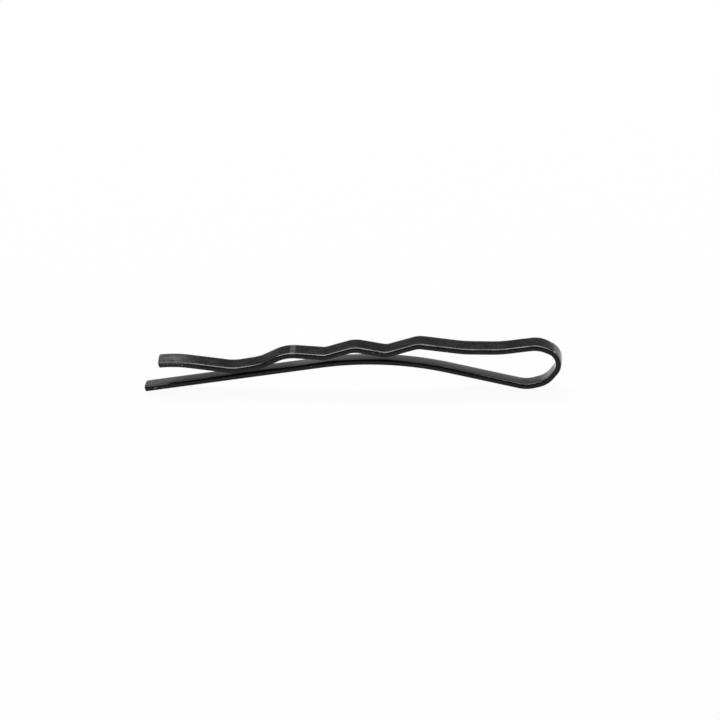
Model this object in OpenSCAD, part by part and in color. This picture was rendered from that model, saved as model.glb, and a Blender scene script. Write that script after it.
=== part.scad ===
// Bobby pin: one flat spring wire in a baked coat, bent to a straight leg, a loop and a crimped leg.
// +X runs along the pin to the loop and +Z is up. The pin stands on the straight leg's tip and on the
// loop's heel.

/* [Pin] */
// Overall length, from the straight leg's tip to the rear of the loop
pin_l = 50; // [48:1:65]
// Height of the loop's shoulder above the floor
loop_h = 6; // [5:0.1:7.5]
// How far the crimped leg stops short of the straight leg's tip
leg_setback = 2; // [0.5:0.1:3]

/* [Wire] */
// Width of the flat wire, with its coat
wire_w = 2; // [1.4:0.05:2.6]
// Thickness of the flat wire, with its coat
wire_t = 0.65; // [0.5:0.01:0.8]
// Rounding along the wire's four edges, in its section
edge_r = 0.2; // [0.1:0.01:0.24]
// Thickness of the baked coat
coat_t = 0.04; // [0.02:0.005:0.08]
// Rounding of a tip's corners, seen from above
tip_r = 0.35; // [0.15:0.05:0.6]

/* [Straight leg] */
// Slope from the tip up to the bow, in degrees
front_a = 8.3; // [7:0.1:10]
// Slope from the bow down to the heel, in degrees
rear_a = 14.9; // [12:0.1:18]
// Radius of the bow, on the wire's middle line as all bend radii are
bow_r = 38; // [20:1:45]

/* [Loop] */
// Slope of the loop's lower flank, from heel to rear, in degrees
lower_flank_a = 45.6; // [40:0.1:50]
// Slope of the loop's upper flank, from rear to shoulder, in degrees
upper_flank_a = 29.4; // [25:0.1:35]
// Straight length of the lower flank, between the heel's bend and the rear's
lower_flank_l = 0.48; // [0.1:0.02:1.5]
// Bend radius of the heel
heel_r = 4.4; // [2:0.1:5.5]
// Bend radius of the loop's rear
rear_r = 2; // [1.2:0.1:2.6]
// Bend radius of the shoulder
shoulder_r = 1.5; // [0.8:0.1:2]

/* [Crimps] */
// From the loop's rear to the lowest point behind the crests
sag_run = 9.4; // [8:0.1:12]
// How far that point lies below the shoulder
sag_drop = 0.65; // [0.3:0.05:1]
// From the loop's rear to the first crest
crest_run = 17; // [15.5:0.1:20]
// From the first crest to the second
crimp_pitch = 7.5; // [6.5:0.1:8.5]
// From the second crest to the third, which is broader
last_pitch = 8.2; // [7:0.1:9]
// From a crest to the trough in front of it
trough_lead = 3.7; // [3:0.1:4.5]
// From the third crest to the foot of its flank
flank_run = 3.35; // [3:0.05:4.5]
// Length of the foot that bears on the straight leg
foot_run = 3.15; // [2:0.05:4]
// Clear height under each crest's corner, from the loop to the tips
crest_gaps = [2, 1.1, 1.3]; // [0.8:0.05:2.5]
// Clear height under the corner of each trough between the crests, which a few hairs fill
trough_gaps = [0.4, 0.25]; // [0.1:0.05:0.6]
// Clearance under the foot, where the leg seats on the straight leg
seat_gap = 0.1; // [0.05:0.01:0.3]
// Clear height of the mouth, under the curl behind the crimped leg's tip
mouth_gap = 2.1; // [1.5:0.1:3]
// From the curl to the crimped leg's tip
curl_run = 1.9; // [1.5:0.1:3]
// Slope of the crimped leg's end down from the curl, in degrees
curl_a = 5.6; // [0:0.1:10]
// Bend radii of the sag, of the three crests and of the two troughs between them
sag_r = 12; // [6:1:20]
crest_r = [2, 2.3, 3]; // [1:0.1:4]
trough_r = 1.5; // [0.8:0.1:2.5]
// Bend radii of the foot's two ends and of the curl
flank_r = 2.6; // [1.5:0.1:4]
foot_r = 2.1; // [1:0.1:4]
curl_r = 9; // [4:0.5:12]

/* [Hidden] */
STEEL = [0.62, 0.62, 0.64];
ENAMEL = [0.07, 0.07, 0.075];
// Greatest turn between two rings of a bend, in degrees, and greatest length between them
RING_A = 6;
RING_L = 1.2;
// Steps round one rounded edge of the section
EDGE_STEPS = 3;
// Points round one ring
RING_N = 4 * (EDGE_STEPS + 1);
tail_x = -pin_l / 2;
rear_x = pin_l / 2;

// The wire's middle line is drawn in a plane as corners and bend radii. Angles are headings, read from
// the straight leg's tip on.

// The point where the line through p at heading a meets the line through q at heading b
function meet(p, a, q, b) =
    p + [cos(a), sin(a)] * ((q.x - p.x) * sin(b) - (q.y - p.y) * cos(b)) / sin(b - a);
// The point at distance d to the left of p, for heading a
function left_of(p, a, d) = p + d * [-sin(a), cos(a)];

// Tip of the straight leg: its rounded lower edge touches the floor
tip = [tail_x + edge_r * (1 - cos(front_a)) + (wire_t / 2 - edge_r) * sin(front_a),
       edge_r * (1 - sin(front_a)) + (wire_t / 2 - edge_r) * cos(front_a)];

// Headings of the loop's two flanks, and half the turn between them
lower_h = lower_flank_a;
upper_h = 180 - upper_flank_a;
rear_half = (upper_h - lower_h) / 2;
// Height that the middle line climbs round the loop, and how much of it the three full bends take
loop_rise = loop_h - wire_t;
bend_rise = heel_r * (1 - cos(lower_h)) + rear_r * (cos(lower_h) - cos(upper_h))
          + shoulder_r * (1 + cos(upper_h));
// In a loop too low for them the three bends are tighter by the same share, so that both flanks stay
BEND_SHARE = 0.98;
tighter = min(1, BEND_SHARE * loop_rise / bend_rise);
heel_bend = tighter * heel_r;
rear_bend = tighter * rear_r;
shoulder_bend = tighter * shoulder_r;
// The lower flank has its own length as long as that leaves half of the spare height to the upper one
spare_rise = loop_rise - tighter * bend_rise;
lower_flank = min(lower_flank_l, spare_rise / 2 / sin(lower_h));
// Rear corner: its bend follows the heel's and the lower flank, and reaches the pin's overall length
rear = [rear_x - wire_t / 2 - rear_bend + rear_bend / cos(rear_half) * cos(lower_h + rear_half - 90),
        wire_t / 2 + heel_bend * (1 - cos(lower_h))
        + (lower_flank + rear_bend * tan(rear_half)) * sin(lower_h)];
// Heel: its bend rests on the floor and touches the lower flank and the leg's rear slope
heel_c = meet(left_of(rear, lower_h, heel_bend), lower_h, [0, wire_t / 2 + heel_bend], 0);
heel = meet(left_of(heel_c, -rear_a, -heel_bend), -rear_a, rear, lower_h);
bow = meet(tip, front_a, heel, -rear_a);
// Shoulder: its bend reaches the loop's height, and the leg leaves it towards the sag
shoulder_top = loop_h - wire_t / 2;
shoulder_c = meet(left_of(rear, upper_h, shoulder_bend), upper_h, [0, shoulder_top - shoulder_bend], 0);
sag = [rear_x - sag_run, shoulder_top - sag_drop];
sag_to_c = shoulder_c - sag;
sag_h = atan2(sag_to_c.y, sag_to_c.x) + asin(shoulder_bend / norm(sag_to_c));
shoulder = meet(sag, sag_h, rear, upper_h);

// Height of the straight leg's middle line at x, and its slope there
bow_cut = bow_r * tan((front_a + rear_a) / 2);
bow_c = left_of(bow - bow_cut * [cos(front_a), sin(front_a)], front_a, -bow_r);
bow_from = bow_c.x - bow_r * sin(front_a);
bow_to = bow_c.x + bow_r * sin(rear_a);
function leg_z(x) =
    x < bow_from ? tip.y + (x - tip.x) * tan(front_a)
    : x > bow_to ? bow.y - (x - bow.x) * tan(rear_a)
    : bow_c.y + sqrt(bow_r ^ 2 - (x - bow_c.x) ^ 2);
function leg_slope(x) =
    x < bow_from ? front_a : x > bow_to ? -rear_a : -asin((x - bow_c.x) / bow_r);
// A corner of the crimped leg whose underside clears the straight leg by gap
function over_leg(x, gap) = [x, leg_z(x) + (wire_t + gap) / cos(leg_slope(x))];

crest_x = [for (run = [0, crimp_pitch, crimp_pitch + last_pitch]) rear_x - crest_run - run];
crest = [for (i = [0 : 2]) over_leg(crest_x[i], crest_gaps[i])];
trough = [for (i = [0 : 1]) over_leg(crest_x[i] - trough_lead, trough_gaps[i])];
foot_rear = over_leg(crest_x[2] - flank_run, seat_gap);
foot_front = over_leg(crest_x[2] - flank_run - foot_run, seat_gap);
curl = over_leg(tail_x + leg_setback + curl_run, mouth_gap);
crimped_tip = curl - curl_run * [1, tan(curl_a)];

// The whole middle line from tip to tip, and the bend radius at each corner
corners = [tip, bow, heel, rear, shoulder, sag, crest[0], trough[0], crest[1], trough[1],
           crest[2], foot_rear, foot_front, curl, crimped_tip];
bend_r = [0, bow_r, heel_bend, rear_bend, shoulder_bend, sag_r, crest_r[0], trough_r, crest_r[1],
          trough_r, crest_r[2], flank_r, foot_r, curl_r, 0];
HEEL = 2;
REAR = 3;
SHOULDER = 4;
LAST = len(corners) - 1;

function wrap(a) = a > 180 ? a - 360 : a <= -180 ? a + 360 : a;
// Heading of the straight stretch that starts at corner i
function heading(i) = atan2(corners[i + 1].y - corners[i].y, corners[i + 1].x - corners[i].x);
// The turn at corner i, and the length that its bend takes from each of the two straight stretches
function turn(i) = i == 0 || i == LAST ? 0 : wrap(heading(i) - heading(i - 1));
function taken(i) = bend_r[i] * tan(abs(turn(i)) / 2);

// A ring is [place on the middle line, heading there, half the width, half the thickness].

// Rings round the bend at corner i, from one share of its turn to another
function bend_rings(i, from, to, inset) =
    let (side = sign(turn(i)),
         h = heading(i - 1),
         c = left_of(corners[i] - taken(i) * [cos(h), sin(h)], h, side * bend_r[i]),
         swept = abs(turn(i)) * (to - from),
         n = ceil(max(swept / RING_A, swept * PI / 180 * bend_r[i] / RING_L)))
    [for (k = [0 : n])
        let (a = h + turn(i) * (from + (to - from) * k / n))
        [left_of(c, a, -side * bend_r[i]), a, wire_w / 2 - inset, wire_t / 2 - inset]];

// How far a tip's rounding of radius r draws in a side of the section, at a distance from the flat end
function drawn_in(r, along) = r * (1 - sqrt(1 - (1 - min(1, along / r)) ^ 2));
// Rings of a tip, from its flat end to the full section, rounded both from above and from the side
function tip_rings(i, inset) =
    let (h = i == 0 ? heading(0) : heading(LAST - 1) + 180,
         n = 2 * EDGE_STEPS,
         rings = [for (k = [0 : n])
             let (along = (max(tip_r, edge_r) - inset) * (1 - cos(90 * k / n)))
             [corners[i] + (inset + along) * [cos(h), sin(h)], i == 0 ? h : h - 180,
              wire_w / 2 - inset - drawn_in(tip_r - inset, along),
              wire_t / 2 - inset - drawn_in(edge_r - inset, along)]])
    i == 0 ? rings : [for (k = [n : -1 : 0]) rings[k]];

// All rings from the middle of bend a, or tip a, to the middle of bend b, or tip b
function run_rings(a, b, inset) = [
    for (i = [a : b])
        each i == 0 || i == LAST ? tip_rings(i, inset)
             : bend_rings(i, i == a ? 0.5 : 0, i == b ? 0.5 : 1, inset)
];

// Points round one ring: a rectangle whose four corners are rounded
function ring_points(ring, inset) =
    let (r = min(edge_r - inset, ring[2], ring[3]))
    [for (corner = [0 : 3], k = [0 : EDGE_STEPS])
        let (q = 90 * (corner + k / EDGE_STEPS),
             sx = corner == 0 || corner == 3 ? 1 : -1,
             sy = corner < 2 ? 1 : -1,
             across = sx * (ring[2] - r) + r * cos(q),
             up = sy * (ring[3] - r) + r * sin(q),
             p = left_of(ring[0], ring[1], up))
        [p.x, across, p.y]];

function run_points(a, b, inset) = [for (ring = run_rings(a, b, inset)) each ring_points(ring, inset)];

// Faces of a tube through rings of points that start at the given index, seen from outside or from inside
function walls(rings, first, outside) = [
    for (j = [0 : rings - 2], k = [0 : RING_N - 1])
        let (p = first + j * RING_N + k, q = first + j * RING_N + (k + 1) % RING_N)
        outside ? [p, p + RING_N, q + RING_N, q] : [p, q, q + RING_N, p + RING_N]
];
// One face over the ring that starts at the given index, in its own order or the other way round
function cap(first, forward) = [for (k = [0 : RING_N - 1]) first + (forward ? k : RING_N - 1 - k)];
// The narrow face between an outer ring and an inner one, in the same two orders
function rim(outer, inner, forward) = [
    for (k = [0 : RING_N - 1])
        let (l = (k + 1) % RING_N)
        forward ? [outer + k, outer + l, inner + l, inner + k]
                : [inner + k, inner + l, outer + l, outer + k]
];

// The bare steel, from the middle of bend a, or tip a, to the middle of bend b, or tip b
module wire_run(a, b) {
    points = run_points(a, b, coat_t);
    last = len(points) - RING_N;
    color(STEEL)
        polyhedron(points, [cap(0, true), each walls(len(points) / RING_N, 0, true), cap(last, false)]);
}

// The coat round the same stretch. It closes over a tip and is open where the wire goes on
module coat_run(a, b) {
    outer = run_points(a, b, 0);
    inner = run_points(a, b, coat_t);
    n = len(outer);
    last = n - RING_N;
    front = a == 0 ? [cap(0, true), cap(n, false)] : rim(0, n, true);
    back = b == LAST ? [cap(last, false), cap(n + last, true)] : rim(last, n + last, false);
    color(ENAMEL)
        polyhedron(concat(outer, inner),
                   concat(walls(n / RING_N, 0, true), walls(n / RING_N, n, false), front, back));
}

// The wire parts at the middle of each of the loop's three bends, where it flexes
module straight_leg_wire() { wire_run(0, HEEL); }
module straight_leg_coat() { coat_run(0, HEEL); }
module lower_loop_wire() { wire_run(HEEL, REAR); }
module lower_loop_coat() { coat_run(HEEL, REAR); }
module upper_loop_wire() { wire_run(REAR, SHOULDER); }
module upper_loop_coat() { coat_run(REAR, SHOULDER); }
module crimped_leg_wire() { wire_run(SHOULDER, LAST); }
module crimped_leg_coat() { coat_run(SHOULDER, LAST); }

straight_leg_wire();
straight_leg_coat();
lower_loop_wire();
lower_loop_coat();
upper_loop_wire();
upper_loop_coat();
crimped_leg_wire();
crimped_leg_coat();
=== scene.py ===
from math import asin, atan2, ceil, copysign, cos, pi, radians, sin, sqrt, tan

import bpy
from bpy.props import FloatProperty, FloatVectorProperty, PointerProperty
from mathutils import Matrix, Vector


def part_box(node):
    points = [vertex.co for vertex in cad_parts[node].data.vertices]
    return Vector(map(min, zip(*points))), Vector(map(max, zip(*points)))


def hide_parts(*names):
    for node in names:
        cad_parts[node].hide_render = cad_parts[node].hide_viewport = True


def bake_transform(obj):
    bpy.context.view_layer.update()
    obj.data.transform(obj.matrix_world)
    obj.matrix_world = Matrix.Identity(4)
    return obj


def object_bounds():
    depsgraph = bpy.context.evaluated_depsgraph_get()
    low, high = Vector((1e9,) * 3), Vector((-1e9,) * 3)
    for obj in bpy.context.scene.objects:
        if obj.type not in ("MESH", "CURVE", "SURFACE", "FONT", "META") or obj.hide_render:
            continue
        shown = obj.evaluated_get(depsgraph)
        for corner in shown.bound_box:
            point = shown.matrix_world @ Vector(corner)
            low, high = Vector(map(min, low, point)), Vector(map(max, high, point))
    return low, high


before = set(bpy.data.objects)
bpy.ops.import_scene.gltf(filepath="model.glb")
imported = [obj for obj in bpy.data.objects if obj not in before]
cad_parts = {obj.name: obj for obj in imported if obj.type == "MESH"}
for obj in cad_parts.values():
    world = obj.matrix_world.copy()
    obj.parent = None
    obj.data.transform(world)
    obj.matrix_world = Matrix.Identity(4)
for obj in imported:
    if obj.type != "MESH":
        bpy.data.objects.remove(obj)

bl_info = {
    "name": "Bobby Pin",
    "version": (1, 0, 0),
    "blender": (4, 5, 0),
    "location": "View3D > Sidebar > Bobby Pin",
    "description": "A waved bobby pin of flat spring wire with a black baked enamel coat",
    "category": "Add Mesh",
}

MM = 0.001
# The whole pin and its straight leg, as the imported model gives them
PIN_LOW, PIN_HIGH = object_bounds()
LEG_LOW, LEG_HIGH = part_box("straight_leg_coat")


def length_property(name, description, millimetres):
    return FloatProperty(name=name, description=description, default=millimetres * MM, unit="LENGTH",
                         subtype="DISTANCE", precision=5)


def length_list(name, description, millimetres):
    return FloatVectorProperty(name=name, description=description, unit="LENGTH", precision=5,
                               default=[v * MM for v in millimetres], size=len(millimetres))


def angle_property(name, description, degrees):
    return FloatProperty(name=name, description=description, default=radians(degrees), subtype="ANGLE")


def share_property(name, description, default):
    return FloatProperty(name=name, description=description, default=default, min=0, max=1,
                         subtype="FACTOR")


def colour_property(name, description, default):
    return FloatVectorProperty(name=name, description=description, default=default, size=3,
                               min=0, max=1, subtype="COLOR")


class PinWireSizes(bpy.types.PropertyGroup):
    """The flat wire's section and its tips."""
    width: length_property("Width", "Width of the coated wire", (LEG_HIGH.y - LEG_LOW.y) / MM)
    thickness: length_property("Thickness", "Thickness of the coated wire at its middle", 0.73)
    squareness: FloatProperty(name="Squareness", default=4.9, min=2,
                              description="Shape of the section: 2 is an ellipse, more is squarer")
    coat: length_property("Coat", "Thickness of the enamel", 0.04)
    tip_r: length_property("Tip rounding", "Rounding of a tip's corners, seen from above", 0.3)
    tip_edge: length_property("Tip edge", "Rounding of a tip's upper and lower edges", 0.12)


class PinStraightLegSizes(bpy.types.PropertyGroup):
    """The bowed leg that the pin stands on."""
    tip_lift: length_property("Tip lift", "Height of the wire's middle at the tip", 0.44)
    front_slope: angle_property("Front slope", "Slope from the tip up to the bow", 8.32)
    rear_slope: angle_property("Rear slope", "Slope from the bow down to the heel", 14.9)
    bow_r: length_property("Bow radius", "Bend radius of the bow", 38)
    roll: angle_property("Roll", "How far the leg is rolled, near edge up", 6.4)


class PinLoopSizes(bpy.types.PropertyGroup):
    """The sprung loop: a heel of two bends, the rear and the shoulder, with flanks between them."""
    heel_slope: angle_property("Heel slope", "Slope between the heel's two bends", 15.4)
    lower_slope: angle_property("Lower slope", "Slope of the flank from the heel to the rear", 51.3)
    upper_slope: angle_property("Upper slope", "Slope of the flank above the rear", 45)
    shoulder_slope: angle_property("Shoulder slope", "Slope of the flank's upper half, up to the shoulder",
                                   30.5)
    corner_z: length_property("Rear corner", "Height at which the two flanks would meet", 3.739)
    heel_run: length_property("Heel length", "Between the corners of the heel's two bends", 2.5)
    lower_flank: length_property("Lower flank", "From the heel's corner to the rear's corner", 3.58)
    upper_flank: length_property("Upper flank", "From the rear's corner to the flank's own bend", 1.93)
    shoulder_run: length_property("Shoulder run", "From the flank's own bend to the shoulder's corner",
                                  1.69)
    heel_r: length_property("Heel radius", "Radius of the heel's first bend", 3.6)
    heel_back_r: length_property("Heel back radius", "Radius of the heel's second bend", 3.0)
    rear_r: length_property("Rear radius", "Bend radius of the loop's rear", 2.0)
    flank_r: length_property("Flank radius", "Radius of the upper flank's own bend", 1.0)
    shoulder_r: length_property("Shoulder radius", "Bend radius of the shoulder", 3.0)


class PinCrimpedLegSizes(bpy.types.PropertyGroup):
    """The waved leg. Runs are along the pin, gaps are clear heights over the straight leg."""
    sag_runs: length_list("Sag runs", "From the loop's rear to the sag's two bends", (7.21, 11.48))
    crest_run: length_property("Crest run", "From the loop's rear to the first crest", 16.88)
    pitch: length_property("Pitch", "From the first crest to the second", 7.63)
    last_pitch: length_property("Last pitch", "From the second crest to the third", 8.24)
    first_lead: length_property("First lead", "From the first crest to its trough", 3.9)
    second_lead: length_property("Second lead", "From the second crest to its trough", 3.59)
    flank_run: length_property("Flank run", "From the third crest to the foot", 3.15)
    foot_run: length_property("Foot run", "Length of the foot on the straight leg", 3.26)
    curl_run: length_property("Curl run", "From the curl to the crimped leg's tip", 1.9)
    setback: length_property("Setback", "How far the leg stops short of the straight leg's tip", 1.9)
    sag_gaps: length_list("Sag gaps", "Gaps under the sag's two bends, loop first", (3.429, 2.422))
    crest_gaps: length_list("Crest gaps", "Gaps under the crests, loop first", (2.053, 1.21, 1.486))
    trough_gaps: length_list("Trough gaps", "Gaps under the troughs, loop first", (0.46, 0.401))
    foot_gaps: length_list("Foot gaps", "Gaps at the foot's two ends, loop first", (0.373, 0.279))
    curl_gap: length_property("Mouth", "Gap under the curl behind the tip", 2.38)
    curl_slope: angle_property("Curl slope", "Slope of the leg's end, down from the curl", 6.4)
    sag_r: length_property("Sag radius", "Radius of the sag's two bends", 14)
    crest_radii: length_list("Crest radii", "Radii of the crests, loop first", (2.5, 3.0, 4.5))
    trough_r: length_property("Trough radius", "Radius of the troughs between the crests", 1.8)
    foot_r: length_property("Foot radius", "Radius of the bends at the foot's two ends", 5.5)
    curl_r: length_property("Curl radius", "Radius of the curl behind the tip", 14)
    roll: angle_property("Roll", "How far the leg is rolled, near edge down", 7.3)


class PinEnamelFinish(bpy.types.PropertyGroup):
    """The black baked coat, and the steel that shows where it is worn through."""
    black: colour_property("Enamel", "Colour of the coat", (0.003, 0.003, 0.0032))
    # This paler colour serves the coat's dull patches, and also a painted sheen on the outer faces, the
    # paler tips and a painted glint on a crest
    bloom_and_sheen: colour_property("Bloom", "Colour of the coat's paler, duller patches", (0.12, 0.12, 0.123))
    steel: colour_property("Steel", "Colour of the bare steel", (0.5, 0.5, 0.52))
    wear: share_property("Wear", "How much steel shows at the tips and edges", 0.35)
    polish: share_property("Polish", "How glossy the coat is where it is rubbed, along the edges", 0.8)
    peel: length_property("Orange peel", "Height of the coat's fine waviness", 0.003)


class PinStageSettings(bpy.types.PropertyGroup):
    """The camera and the light."""
    azimuth: angle_property("Azimuth", "Direction of the camera round the pin", 8.12)
    elevation: angle_property("Elevation", "Height of the camera over the pin", 31.7)
    roll: angle_property("Roll", "Turn of the camera about its own axis", 4.74)
    distance: length_property("Distance", "From the camera to the pin", 614.7)
    lens: FloatProperty(name="Lens", description="Focal length in millimetres", default=259.15)
    floor: colour_property("Floor", "Colour of the floor", (0.9, 0.9, 0.9))


# The wire's middle line lies in the plane of X and Z, as 2-D vectors. Headings are angles from +X towards
# +Z, read from the straight leg's tip on.

def left_of(point, heading, distance):
    return point + distance * Vector((-sin(heading), cos(heading)))


def meet(p, a, q, b):
    """The point where the line through p at heading a meets the line through q at heading b."""
    run = ((q.x - p.x) * sin(b) - (q.y - p.y) * cos(b)) / sin(b - a)
    return p + run * Vector((cos(a), sin(a)))


def wrapped(angle):
    return (angle + pi) % (2 * pi) - pi


def loop_corners(wire, leg, loop):
    """The corners from the straight leg's tip to the shoulder, before their bends are rounded."""
    lower, upper = loop.lower_slope, pi - loop.upper_slope
    half_turn = (upper - lower) / 2
    reach = loop.rear_r / cos(half_turn) * sin(lower + half_turn)
    rear = Vector((PIN_HIGH.x - wire.thickness / 2 - loop.rear_r + reach, loop.corner_z))
    flank = rear + loop.upper_flank * Vector((cos(upper), sin(upper)))
    shoulder = flank + loop.shoulder_run * Vector((-cos(loop.shoulder_slope), sin(loop.shoulder_slope)))
    heel_back = rear - loop.lower_flank * Vector((cos(lower), sin(lower)))
    heel = heel_back - loop.heel_run * Vector((cos(loop.heel_slope), sin(loop.heel_slope)))
    tip = Vector((PIN_LOW.x, leg.tip_lift))
    bow = meet(tip, leg.front_slope, heel, -leg.rear_slope)
    return tip, bow, heel, heel_back, rear, flank, shoulder


def straight_leg_height(x, tip, bow, leg):
    """Height and slope of the straight leg's middle line at x."""
    cut = leg.bow_r * tan((leg.front_slope + leg.rear_slope) / 2)
    start = bow - cut * Vector((cos(leg.front_slope), sin(leg.front_slope)))
    centre = left_of(start, leg.front_slope, -leg.bow_r)
    if x < start.x:
        return tip.y + (x - tip.x) * tan(leg.front_slope), leg.front_slope
    if x > centre.x + leg.bow_r * sin(leg.rear_slope):
        return bow.y - (x - bow.x) * tan(leg.rear_slope), -leg.rear_slope
    return centre.y + sqrt(leg.bow_r ** 2 - (x - centre.x) ** 2), -asin((x - centre.x) / leg.bow_r)


# Places of some corners in the list that wire_corners gives
HEEL, HEEL_BACK, REAR, FLANK, SHOULDER, THIRD_CREST = 2, 3, 4, 5, 6, 13


def wire_corners(wire, leg, loop, crimped):
    """All corners of the middle line from tip to tip, and the bend radius at each."""
    tip, bow, heel, heel_back, rear, flank, shoulder = loop_corners(wire, leg, loop)

    def over_leg(x, gap):
        z, slope = straight_leg_height(x, tip, bow, leg)
        return Vector((x, z + (wire.thickness + gap) / cos(slope)))

    first = PIN_HIGH.x - crimped.crest_run
    second = first - crimped.pitch
    third = second - crimped.last_pitch
    foot = third - crimped.flank_run
    curl = over_leg(PIN_LOW.x + crimped.setback + crimped.curl_run, crimped.curl_gap)
    return [
        (tip, 0),
        (bow, leg.bow_r),
        (heel, loop.heel_r),
        (heel_back, loop.heel_back_r),
        (rear, loop.rear_r),
        (flank, loop.flank_r),
        (shoulder, loop.shoulder_r),
        (over_leg(PIN_HIGH.x - crimped.sag_runs[0], crimped.sag_gaps[0]), crimped.sag_r),
        (over_leg(PIN_HIGH.x - crimped.sag_runs[1], crimped.sag_gaps[1]), crimped.sag_r),
        (over_leg(first, crimped.crest_gaps[0]), crimped.crest_radii[0]),
        (over_leg(first - crimped.first_lead, crimped.trough_gaps[0]), crimped.trough_r),
        (over_leg(second, crimped.crest_gaps[1]), crimped.crest_radii[1]),
        (over_leg(second - crimped.second_lead, crimped.trough_gaps[1]), crimped.trough_r),
        (over_leg(third, crimped.crest_gaps[2]), crimped.crest_radii[2]),
        (over_leg(foot, crimped.foot_gaps[0]), crimped.foot_r),
        (over_leg(foot - crimped.foot_run, crimped.foot_gaps[1]), crimped.foot_r),
        (curl, crimped.curl_r),
        (curl - crimped.curl_run * Vector((1, tan(crimped.curl_slope))), 0),
    ]


# Rings along the wire lie no further apart than this, in length and in turn
RING_STEP = 0.5 * MM
RING_TURN = radians(3)
# A stretch shorter than this gets no rings
SHORTEST = 1e-9
# Steps in a quarter of the section, and in the rounding of a tip
CORNER_STEPS = 10
TIP_STEPS = 7
# Least rounding of a tip, where the coat takes up all of it
SHARPEST = 0.01 * MM


class MiddleLine:
    """The wire's middle line as straight stretches and arcs, read by the length along it."""

    def __init__(self, corners):
        self.parts, self.bends, run = [], {}, 0.0
        points = [p for p, _ in corners]
        headings = [atan2(b.y - a.y, b.x - a.x) for a, b in zip(points, points[1:])]
        turns = [0.0] + [wrapped(b - a) for a, b in zip(headings, headings[1:])] + [0.0]
        taken = [r * tan(abs(t) / 2) for (_, r), t in zip(corners, turns)]
        for i, heading in enumerate(headings):
            if turns[i]:
                start = points[i] - taken[i] * Vector((cos(headings[i - 1]), sin(headings[i - 1])))
                length = corners[i][1] * abs(turns[i])
                self.parts.append((run, run + length, start, headings[i - 1], turns[i] / length))
                self.bends[i] = (run, run + length)
                run += length
            start = points[i] + taken[i] * Vector((cos(heading), sin(heading)))
            length = (points[i + 1] - points[i]).length - taken[i] - taken[i + 1]
            self.parts.append((run, run + length, start, heading, 0.0))
            run += length
        self.length = run

    def at(self, s):
        """The point and heading at length s."""
        low, _, start, heading, curve = next((p for p in self.parts if s <= p[1]), self.parts[-1])
        run = s - low
        if not curve:
            return start + run * Vector((cos(heading), sin(heading))), heading
        turned = heading + curve * run
        centre = left_of(start, heading, 1 / curve)
        return left_of(centre, turned, -1 / curve), turned

    def stops(self, low, high):
        """Lengths from low to high at which the wire needs a ring."""
        found = [low]
        for start, end, _, _, curve in self.parts:
            a, b = max(low, start), min(high, end)
            if b - a > SHORTEST:
                n = max(1, ceil((b - a) / RING_STEP), ceil(abs(curve) * (b - a) / RING_TURN))
                found += [a + (b - a) * k / n for k in range(1, n + 1)]
        return found


class PinWire:
    """The bent wire: its middle line, the roll along it and its section."""

    def __init__(self, scene):
        self.wire = scene.pin_wire
        self.leg, self.crimped = scene.pin_straight_leg, scene.pin_crimped_leg
        self.line = MiddleLine(wire_corners(self.wire, self.leg, scene.pin_loop, self.crimped))
        bends = self.line.bends
        self.heel = (bends[HEEL][0], bends[HEEL_BACK][1])
        self.rear, self.flank, self.shoulder = bends[REAR], bends[FLANK], bends[SHOULDER]

    def roll(self, s):
        """The roll about the heading: full on each leg, fading to none at the loop's rear."""
        if s < self.rear[0]:
            low, high = self.heel
            return -self.leg.roll * min(1, max(0, (high - s) / (high - low)))
        low, high = self.rear[1], sum(self.shoulder) / 2
        return -self.crimped.roll * min(1, max(0, (s - low) / (high - low)))

    def tip_sizes(self, off, inset):
        """Half width and half thickness of the section at the distance off from a tip's end."""
        def rounded(radius):
            inner = max(radius - inset, SHARPEST)
            share = min(1, max(0, (off - inset) / inner))
            return inner * (1 - sqrt(1 - (1 - share) ** 2))
        return (self.wire.width / 2 - inset - rounded(self.wire.tip_r),
                self.wire.thickness / 2 - inset - rounded(self.wire.tip_edge))

    def ring(self, s, inset):
        """Points round the wire at length s, and each one's place: along, across, up in mm."""
        off = min(s, self.line.length - s)
        half_w, half_t = self.tip_sizes(off, inset)
        point, heading = self.line.at(s)
        roll = self.roll(s)
        power = 2 / self.wire.squareness
        points, places = [], []
        for k in range(4 * CORNER_STEPS):
            q = pi / 2 * k / CORNER_STEPS
            across = half_w * copysign(abs(cos(q)) ** power, cos(q))
            up = half_t * copysign(abs(sin(q)) ** power, sin(q))
            across_r = across * cos(roll) - up * sin(roll)
            up_r = across * sin(roll) + up * cos(roll)
            p = left_of(point, heading, up_r)
            points.append((p.x, across_r, p.y))
            places.append((s / MM, across / MM, up / MM))
        return points, places

    def stops(self, low, high, inset):
        """Lengths at which a piece from low to high has its rings, finer at a tip."""
        tip_r, length = self.wire.tip_r, self.line.length
        tip = [inset + (tip_r - inset) * (1 - cos(pi / 2 * k / TIP_STEPS)) for k in range(TIP_STEPS)]
        starts, ends = low == 0, high == length
        middle = self.line.stops(tip_r if starts else low, length - tip_r if ends else high)
        first = tip if starts else []
        last = [length - t for t in reversed(tip)] if ends else []
        return first + middle + last


def tube(wire, low, high, inset, outward):
    """Vertices, places and faces of the wire's surface from low to high, and its two end rings."""
    vertices, places, faces = [], [], []
    stops = wire.stops(low, high, inset)
    for s in stops:
        points, marks = wire.ring(s, inset)
        vertices += points
        places += marks
    n = len(points)
    for j in range(len(stops) - 1):
        for k in range(n):
            a, b = j * n + k, j * n + (k + 1) % n
            quad = (a, b, b + n, a + n)
            faces.append(quad if outward else quad[::-1])
    return vertices, places, faces, list(range(n)), list(range(len(vertices) - n, len(vertices)))


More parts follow.
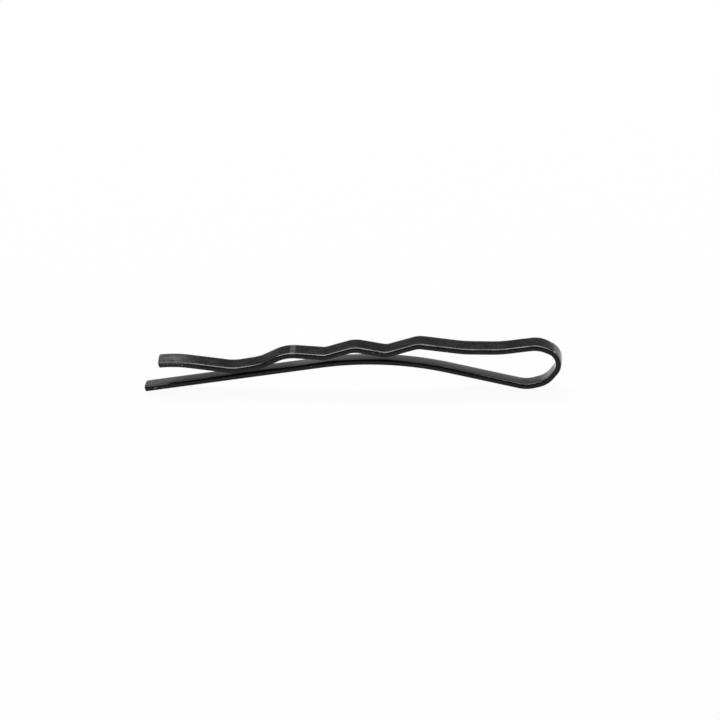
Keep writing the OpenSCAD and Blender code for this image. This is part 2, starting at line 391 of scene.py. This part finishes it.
def finish_mesh(name, vertices, places, faces, flat_faces, material):
    """A smooth mesh object whose flat end faces keep a sharp border."""
    mesh = bpy.data.meshes.new(name)
    mesh.from_pydata(vertices, [], faces + flat_faces)
    mesh.shade_smooth()
    for polygon in mesh.polygons[len(faces):]:
        polygon.use_smooth = False
    border = {tuple(sorted(pair)) for face in flat_faces for pair in zip(face, face[1:] + face[:1])}
    for edge in mesh.edges:
        edge.use_edge_sharp = tuple(sorted(edge.vertices)) in border
    place = mesh.attributes.new("place", "FLOAT_VECTOR", "POINT")
    place.data.foreach_set("vector", [c for mark in places for c in mark])
    mesh.materials.append(material)
    piece = bpy.data.objects.new(name, mesh)
    bpy.context.scene.collection.objects.link(piece)
    return piece


def steel_piece(name, wire, low, high, material):
    """The bare wire from low to high, closed with a flat face at each end."""
    vertices, places, faces, first, last = tube(wire, low, high, wire.wire.coat, True)
    return finish_mesh(name, vertices, places, faces, [tuple(reversed(first)), tuple(last)], material)


def coat_piece(name, wire, low, high, material):
    """The coat from low to high: closed over a tip, ending in a narrow rim where the wire goes on."""
    vertices, places, faces, first, last = tube(wire, low, high, 0, True)
    inner = tube(wire, low, high, wire.wire.coat, False)
    shift = len(vertices)
    vertices += inner[0]
    places += inner[1]
    faces += [tuple(v + shift for v in face) for face in inner[2]]
    inner_first, inner_last = ([v + shift for v in ring] for ring in inner[3:])
    flat = []
    for outer_ring, inner_ring, closed, forward in ((first, inner_first, low == 0, False),
                                                    (last, inner_last, high == wire.line.length, True)):
        if closed:
            flat += [tuple(outer_ring if forward else reversed(outer_ring)),
                     tuple(reversed(inner_ring) if forward else inner_ring)]
            continue
        n = len(outer_ring)
        for k in range(n):
            quad = (outer_ring[k], outer_ring[(k + 1) % n], inner_ring[(k + 1) % n], inner_ring[k])
            flat.append(quad if forward else quad[::-1])
    return finish_mesh(name, vertices, places, faces, flat, material)


# Shader values are written as Python expressions.

class Value:
    """A node's output that Python arithmetic works on."""

    def __init__(self, shader, socket):
        self.shader, self.socket = shader, socket

    def maths(self, operation, *values):
        return self.shader.node("ShaderNodeMath", {"operation": operation}, dict(enumerate(values)))

    def __add__(self, other):
        return self.maths("ADD", self, other)

    def __sub__(self, other):
        return self.maths("SUBTRACT", self, other)

    def __rsub__(self, other):
        return self.maths("SUBTRACT", other, self)

    def __mul__(self, other):
        return self.maths("MULTIPLY", self, other)

    def __truediv__(self, other):
        return self.maths("DIVIDE", self, other)

    __radd__, __rmul__ = __add__, __mul__

    def size(self):
        """The value without its sign."""
        return self.maths("ABSOLUTE", self)

    def step(self, low, high):
        """Rises smoothly from 0 at low to 1 at high."""
        return self.shader.node("ShaderNodeMapRange", {"interpolation_type": "SMOOTHSTEP"},
                                {"Value": self, "From Min": low, "From Max": high})


class Shader:
    """A node tree that is built by calls."""

    def __init__(self, tree):
        self.tree = tree
        tree.nodes.clear()

    def node(self, kind, settings=None, inputs=None, output=0):
        """Adds a node, sets its settings and its sockets' values or links, and gives an output."""
        made = self.tree.nodes.new(kind)
        for name, setting in (settings or {}).items():
            setattr(made, name, setting)
        for name, value in (inputs or {}).items():
            socket = made.inputs[name]
            if isinstance(value, Value):
                self.tree.links.new(value.socket, socket)
            else:
                socket.default_value = value
        return Value(self, made.outputs[output]) if made.outputs else None

    def mix_colour(self, factor, a, b):
        return self.node("ShaderNodeMix", {"data_type": "RGBA"},
                         {"Factor": factor, 6: rgba(a), 7: rgba(b)}, 2)

    def noise(self, place, stretch, scale, detail, roughness):
        """Noise whose waves are shortened by stretch along, across and up."""
        vector = self.node("ShaderNodeVectorMath", {"operation": "MULTIPLY"}, {0: place, 1: stretch})
        return self.node("ShaderNodeTexNoise", None, {"Vector": vector, "Scale": scale, "Detail": detail,
                                                      "Roughness": roughness})


def rgba(colour):
    return colour if isinstance(colour, Value) else (*colour, 1)


def new_material(name):
    material = bpy.data.materials.new(name)
    material.use_nodes = True
    return material, Shader(material.node_tree)


# Noises over the wire: stretch along, across and up, scale in waves per millimetre, detail, roughness
PATCH_NOISE = ((0.5, 1.2, 1.2), 1.0, 3.0, 0.6)
GRAIN_NOISE = ((1, 1, 1), 7.0, 3.0, 0.65)
SPECK_NOISE = ((1, 1, 1), 18.0, 2.0, 0.5)
WEAR_NOISE = ((1.5, 4.0, 4.0), 1.6, 4.0, 0.7)
SCUFF_NOISE = ((0.9, 2.0, 2.0), 1.0, 4.0, 0.65)
PEEL_NOISE = ((1, 1, 1), 2.2, 2.0, 0.5)
DRAWING_NOISE = ((0.3, 14.0, 14.0), 1.0, 4.0, 0.6)
BLUEING_NOISE = ((0.12, 0.5, 0.5), 1.0, 2.0, 0.5)
# Noise levels at which each mark starts and is full
PATCH_LEVELS, PALE_LEVELS, SPECK_LEVELS = (0.42, 0.68), (0.45, 0.75), (0.6, 0.75)
SCUFF_LEVELS, GLINT_LEVELS, BLUEING_LEVELS = (0.38, 0.6), (0.3, 0.6), (0.4, 0.7)
# In millimetres: from a tip, from the middle line up or down, up on the side between the legs, and
# along the straight leg to where its upper face is glossy
TIP_RUN, FACE_RISE, INSIDE_RISE, GLOSSY_RUN = (1, 6), (0.15, 0.3), (0, 0.2), (17, 20)
# As shares of the half width: where the rubbed band starts and ends, the worn edge, the face's end
BAND_START, BAND_END, WORN_EDGE, FACE_END = (0.62, 0.78), (0.9, 0.97), (0.75, 0.92), (0.88, 0.96)
# Paleness that is even (painted sheen), in patches and in the grain (the coat's own dull patches), on the
# faces outside the legs
EVEN_SHEEN, PATCH_BLOOM, PALE_BLOOM, OUTER_BLOOM_AND_SHEEN = 0.2, 0.5, 0.6, 0.27
# Paleness at the tips, how much of that the inner faces lack (painted shade between the legs), and
# paleness of the painted glint
TIP_PALENESS, INNER_SHADE, GLINT_PALENESS = 1.7, 0.9, 0.9
# The painted glint, in millimetres: offset from the crest towards the loop, ragged edge, half width
GLINT_OFFSET, GLINT_RAG, GLINT_HALF = 0.8, 0.5, (0.15, 0.4)
# Wear added at the edges and the tips, and levels at which steel shows, less WEAR_REACH at full wear
EDGE_WEAR, TIP_WEAR, STEEL_LEVELS, WEAR_REACH = 0.1, 0.06, (0.8, 0.88), 0.1
BARE_METAL = 0.9
ENAMEL_ROUGHNESS, PALENESS_ROUGHNESS, SPECK_ROUGHNESS = 0.15, 0.12, 0.05
# Gloss of the rubbed band: least share of the polish, and how much of it the tips and the loop lack
LEAST_POLISH, TIP_LACK, LOOP_LACK = 0.3, 0.95, 0.7
INNER_GLOSS, LOOP_GLOSS = 0.38, 0.42
ENAMEL_IOR, GLOSS_IOR, GLOSS_ROUGHNESS = 1.3, 1.8, 0.12
GRAIN_HEIGHT, PEEL_HEIGHT, BARE_DEPTH = 0.7, 0.9, 0.5
# The steel: tint of its blued areas, depth and roughness of its drawing lines
BLUED, LINE_DEPTH, STEEL_ROUGHNESS, LINE_ROUGHNESS = (0.8, 0.82, 0.9), 0.003 * MM, 0.28, 0.15


def enamel_material(finish, wire):
    """Black enamel with an orange peel: pale dull patches, painted sheen on the outer faces and a painted
    glint on a crest, polished edges and steel where it is worn.
    """
    material, shader = new_material("black_enamel")
    place = shader.node("ShaderNodeAttribute", {"attribute_name": "place"}, None, 1)
    along, across, up = (shader.node("ShaderNodeSeparateXYZ", None, {0: place}, i) for i in range(3))
    from_middle = across.size() / (wire.wire.width / 2 / MM)
    length = wire.line.length / MM

    tips = 1 - along.step(*TIP_RUN) * (length - along).step(*TIP_RUN)
    top = up.size().step(*FACE_RISE)
    inside = up.step(*INSIDE_RISE)
    loop = along.step(wire.heel[0] / MM, wire.heel[1] / MM)
    loop = loop * (1 - along.step(wire.rear[1] / MM, wire.shoulder[1] / MM))

    patches = shader.noise(place, *PATCH_NOISE).step(*PATCH_LEVELS)
    grain = shader.noise(place, *GRAIN_NOISE)
    specks = shader.noise(place, *SPECK_NOISE).step(*SPECK_LEVELS)
    # Painted sheen: an even paleness on the outer faces stands in for reflected light, with the coat's own
    # patches and grain over it. The inner faces between the legs lack it as painted shade, and the tips
    # are paler
    paleness = EVEN_SHEEN + patches * PATCH_BLOOM + grain.step(*PALE_LEVELS) * PALE_BLOOM
    bloom_and_sheen = top * paleness * (OUTER_BLOOM_AND_SHEEN * (1 - inside) + tips * (TIP_PALENESS - inside * INNER_SHADE))
    # The crest nearest the foot carries a painted glint, a pale band across its top
    crest = sum(wire.line.bends[THIRD_CREST]) / 2 / MM - GLINT_OFFSET
    from_crest_glint = (along - crest + (grain - 0.5) * GLINT_RAG).size()
    crest_glint = (1 - from_crest_glint.step(*GLINT_HALF)) * (1 - inside) * top
    bloom_and_sheen = bloom_and_sheen + crest_glint * grain.step(*GLINT_LEVELS) * GLINT_PALENESS

    wear = shader.noise(place, *WEAR_NOISE) + from_middle.step(*WORN_EDGE) * EDGE_WEAR + tips * TIP_WEAR
    bare = wear.step(*(level - WEAR_REACH * finish.wear for level in STEEL_LEVELS))
    colour = shader.mix_colour(bloom_and_sheen, finish.black, finish.bloom_and_sheen)
    colour = shader.mix_colour(bare, colour, finish.steel)
    roughness = ENAMEL_ROUGHNESS + bloom_and_sheen * PALENESS_ROUGHNESS + specks * SPECK_ROUGHNESS

    # A band beside each edge is polished by use. The loop and the inner faces keep the coat's own gloss
    band = from_middle.step(*BAND_START) * (1 - from_middle.step(*BAND_END))
    scuffs = shader.noise(place, *SCUFF_NOISE).step(*SCUFF_LEVELS)
    polish = finish.polish * (LEAST_POLISH + scuffs * (1 - LEAST_POLISH))
    polish = band * polish * (1 - tips * TIP_LACK) * (1 - loop * LOOP_LACK)
    face = 1 - from_middle.step(*FACE_END)
    gloss = inside * along.step(*GLOSSY_RUN) * INNER_GLOSS + loop * (1 - inside) * LOOP_GLOSS
    height = grain * GRAIN_HEIGHT + shader.noise(place, *PEEL_NOISE) * PEEL_HEIGHT - bare * BARE_DEPTH
    normal = shader.node("ShaderNodeBump", None,
                         {"Height": height, "Distance": finish.peel, "Strength": 1.0})
    surface = shader.node("ShaderNodeBsdfPrincipled", None, {
        "Base Color": colour, "Metallic": bare * BARE_METAL, "Roughness": roughness, "Normal": normal,
        "IOR": ENAMEL_IOR, "Coat Weight": polish + face * gloss, "Coat IOR": GLOSS_IOR,
        "Coat Roughness": GLOSS_ROUGHNESS,
    })
    shader.node("ShaderNodeOutputMaterial", None, {"Surface": surface})
    return material


def steel_material(finish):
    """Hardened spring steel with fine drawing lines along the wire."""
    material, shader = new_material("spring_steel")
    place = shader.node("ShaderNodeAttribute", {"attribute_name": "place"}, None, 1)
    lines = shader.noise(place, *DRAWING_NOISE)
    blueing = shader.noise(place, *BLUEING_NOISE).step(*BLUEING_LEVELS)
    blued = tuple(c * tint for c, tint in zip(finish.steel, BLUED))
    normal = shader.node("ShaderNodeBump", None,
                         {"Height": lines, "Distance": LINE_DEPTH, "Strength": 1.0})
    surface = shader.node("ShaderNodeBsdfPrincipled", None, {
        "Base Color": shader.mix_colour(blueing, finish.steel, blued), "Metallic": 1.0,
        "Roughness": STEEL_ROUGHNESS + lines * LINE_ROUGHNESS, "Normal": normal,
    })
    shader.node("ShaderNodeOutputMaterial", None, {"Surface": surface})
    return material


def stretches(wire):
    """Name, ends, flexing bend and bodies of the three pieces that coat and steel are made in."""
    lower_cut = (wire.heel[1] + wire.rear[0]) / 2
    upper_cut = (wire.rear[1] + wire.flank[0]) / 2
    return [
        ("straight_leg_and_heel", 0, lower_cut, wire.heel, ("straight_leg", "lower_loop")),
        ("loop_rear", lower_cut, upper_cut, wire.rear, ("lower_loop", "upper_loop")),
        ("shoulder_and_crimped_leg", upper_cut, wire.line.length, wire.shoulder,
         ("upper_loop", "crimped_leg")),
    ]


# The part of a bend that flexes
FLEX_START, FLEX_END = 0.1, 0.9


def flex(piece, wire, bend):
    """Bakes the piece's placement into its mesh; the ends of the bend's flexing part are worked out but
    not used.
    """
    start, end = (wire.line.at(bend[0] + (bend[1] - bend[0]) * share)[0]
                  for share in (FLEX_START, FLEX_END))
    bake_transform(piece)


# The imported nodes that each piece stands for
COAT_NODES = {"straight_leg_and_heel": ["straight_leg_coat"],
              "loop_rear": ["lower_loop_coat", "upper_loop_coat"],
              "shoulder_and_crimped_leg": ["crimped_leg_coat"]}
WIRE_NODES = {"straight_leg_and_heel": ["straight_leg_wire"],
              "loop_rear": ["lower_loop_wire", "upper_loop_wire"],
              "shoulder_and_crimped_leg": ["crimped_leg_wire"]}


class PIN_OT_steel_wire(bpy.types.Operator):
    """Make the flat spring wire, bent to both legs and the loop"""
    bl_idname = "pin.steel_wire"
    bl_label = "Steel Wire"

    def execute(self, context):
        wire = PinWire(context.scene)
        material = steel_material(context.scene.pin_enamel)
        for name, low, high, bend, bodies in stretches(wire):
            piece = steel_piece("steel_" + name, wire, low, high, material)
            flex(piece, wire, bend)
            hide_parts(*WIRE_NODES[name])
        return {"FINISHED"}


class PIN_OT_enamel_coat(bpy.types.Operator):
    """Make the black enamel coat over the wire"""
    bl_idname = "pin.enamel_coat"
    bl_label = "Enamel Coat"

    def execute(self, context):
        wire = PinWire(context.scene)
        material = enamel_material(context.scene.pin_enamel, wire)
        for name, low, high, bend, bodies in stretches(wire):
            piece = coat_piece("enamel_" + name, wire, low, high, material)
            flex(piece, wire, bend)
            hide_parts(*COAT_NODES[name])
        return {"FINISHED"}


FLOOR_SIZE = 3.0
# How much of the floor's look is plain white where the camera or a reflection sees it
FLOOR_GLOW = 0.95
# The point of the pin that the camera turns round, and its place in the picture, from the middle, as
# a share of the picture's side
AIM = Vector((0.150, 0, 3.44)) * MM
AIM_RIGHT, AIM_DOWN = -7 / 720, 3 / 720
CLIP_START = 0.01
# Each lamp: place, the point along the pin that it faces, length and width, in metres, and brightness
LAMPS = {
    "rim": ((0.385, 0.25, 0.19), 0, (0.14, 0.12), 10),
    "key": ((-0.02, 0.211, 0.465), -0.02, (0.84, 0.138), 4.2),
    "side": ((-0.15, 0.211, 0.465), -0.15, (0.26, 0.138), 9),
}
# The reflected studio, by the height of a direction: 0 is level and 1 straight up. The ceiling starts
# higher at the back, by CEILING_LEAN. A darkness of 1 is black
CEILING_LEAN, CEILING_EDGE, CEILING_DARKNESS = 0.45, (0.45, 0.65), 0.9
WALL_EDGE, WALL_DARKNESS = (0.16, 0.42), 0.6
# The soft light that falls on the pin: level at the horizon, more at the top, and where it rises
SOFT_LIGHT, SOFT_RISE, SOFT_EDGE = 0.05, 0.2, (0.1, 1.0)


def seen_directly(shader):
    """1 for what the camera sees itself, in a reflection or through glass."""
    rays = [shader.node("ShaderNodeLightPath", None, None, name)
            for name in ("Is Camera Ray", "Is Glossy Ray", "Is Transmission Ray")]
    return rays[0].maths("MAXIMUM", rays[0], rays[1].maths("MAXIMUM", rays[1], rays[2]))


def floor_material(colour):
    """A pale floor that shows nearly white and keeps the pin's shadow."""
    material, shader = new_material("pale_floor")
    paper = shader.node("ShaderNodeBsdfDiffuse", None, {"Color": rgba(colour)})
    glow = shader.node("ShaderNodeEmission", None, {"Color": (1, 1, 1, 1), "Strength": 1.0})
    surface = shader.node("ShaderNodeMixShader", None,
                          {0: seen_directly(shader) * FLOOR_GLOW, 1: paper, 2: glow})
    shader.node("ShaderNodeOutputMaterial", None, {"Surface": surface})
    return material


def studio_world():
    """White to the camera. The pin mirrors white low down, a greyer wall over it and a dark ceiling."""
    world = bpy.data.worlds.new("studio")
    world.use_nodes = True
    shader = Shader(world.node_tree)
    direction = shader.node("ShaderNodeTexCoord", None, None, "Generated")
    back, height = (shader.node("ShaderNodeSeparateXYZ", None, {0: direction}, i) for i in (1, 2))
    camera_ray = shader.node("ShaderNodeLightPath", None, None, "Is Camera Ray")
    ceiling = (height - back * CEILING_LEAN).step(*CEILING_EDGE) * CEILING_DARKNESS
    wall = height.step(*WALL_EDGE) * WALL_DARKNESS
    darkness = 1 - (1 - ceiling) * (1 - wall)
    sweep = 1 - darkness * (1 - camera_ray)
    light = SOFT_LIGHT + height.step(*SOFT_EDGE) * SOFT_RISE
    white = shader.node("ShaderNodeBackground", None, {"Color": (1, 1, 1, 1), "Strength": sweep})
    soft = shader.node("ShaderNodeBackground", None, {"Color": (1, 1, 1, 1), "Strength": light})
    surface = shader.node("ShaderNodeMixShader", None, {0: seen_directly(shader), 1: soft, 2: white})
    shader.node("ShaderNodeOutputWorld", None, {"Surface": surface})
    return world


def softbox(name, place, aim_x, size, brightness):
    """A lamp of the given length and width, turned to the point aim_x along the pin."""
    lamp = bpy.data.lights.new(name, "AREA")
    lamp.shape = "RECTANGLE"
    lamp.size, lamp.size_y = size
    lamp.energy = brightness * pi * size[0] * size[1]
    box = bpy.data.objects.new(name, lamp)
    box.location = place
    box.rotation_euler = (Vector((aim_x, 0, 0)) - box.location).to_track_quat("-Z", "Y").to_euler()
    bpy.context.scene.collection.objects.link(box)


class PIN_OT_stage(bpy.types.Operator):
    """Set up the floor, the light and the camera"""
    bl_idname = "pin.stage"
    bl_label = "Stage"

    def execute(self, context):
        scene, settings = context.scene, context.scene.pin_stage
        mesh = bpy.data.meshes.new("floor")
        half = FLOOR_SIZE / 2
        corners = [(-half, -half, 0), (half, -half, 0), (half, half, 0), (-half, half, 0)]
        mesh.from_pydata(corners, [], [(0, 1, 2, 3)])
        mesh.materials.append(floor_material(settings.floor))
        floor = bpy.data.objects.new("floor", mesh)
        floor.location.z = PIN_LOW.z
        scene.collection.objects.link(floor)
        scene.world = studio_world()
        for name, lamp in LAMPS.items():
            softbox(name, *lamp)

        camera = bpy.data.objects.new("camera", bpy.data.cameras.new("camera"))
        a, e, r = settings.azimuth, settings.elevation, settings.roll
        right = Vector((cos(a), sin(a), 0))
        look = Vector((-sin(a) * cos(e), cos(a) * cos(e), -sin(e)))
        up = right.cross(look)
        x_axis = cos(r) * right - sin(r) * up
        y_axis = sin(r) * right + cos(r) * up
        camera.matrix_world = Matrix.Translation(AIM - look * settings.distance) @ Matrix(
            (x_axis, y_axis, -look)).transposed().to_4x4()
        camera.data.lens = settings.lens
        camera.data.shift_x, camera.data.shift_y = -AIM_RIGHT, AIM_DOWN
        camera.data.clip_start = CLIP_START
        scene.collection.objects.link(camera)
        scene.camera = camera
        scene.view_settings.view_transform = "Standard"
        return {"FINISHED"}


class PIN_PT_panel(bpy.types.Panel):
    """Buttons that make the pin and its stage"""
    bl_idname = "PIN_PT_panel"
    bl_label = "Bobby Pin"
    bl_space_type = "VIEW_3D"
    bl_region_type = "UI"
    bl_category = "Bobby Pin"

    def draw(self, context):
        for group in GROUPS:
            settings = getattr(context.scene, group)
            box = self.layout.box()
            for name in settings.bl_rna.properties.keys():
                if name not in ("rna_type", "name"):
                    box.prop(settings, name)
        for operator in OPERATORS:
            self.layout.operator(operator.bl_idname)


GROUPS = {
    "pin_wire": PinWireSizes,
    "pin_straight_leg": PinStraightLegSizes,
    "pin_loop": PinLoopSizes,
    "pin_crimped_leg": PinCrimpedLegSizes,
    "pin_enamel": PinEnamelFinish,
    "pin_stage": PinStageSettings,
}
OPERATORS = (PIN_OT_steel_wire, PIN_OT_enamel_coat, PIN_OT_stage)


def register():
    for cls in (*GROUPS.values(), *OPERATORS, PIN_PT_panel):
        bpy.utils.register_class(cls)
    for name, group in GROUPS.items():
        setattr(bpy.types.Scene, name, PointerProperty(type=group))


def unregister():
    for name in GROUPS:
        delattr(bpy.types.Scene, name)
    for cls in reversed((*GROUPS.values(), *OPERATORS, PIN_PT_panel)):
        bpy.utils.unregister_class(cls)


def main():
    register()
    bpy.ops.pin.steel_wire()
    bpy.ops.pin.enamel_coat()
    bpy.ops.pin.stage()


if __name__ == "__main__":
    main()
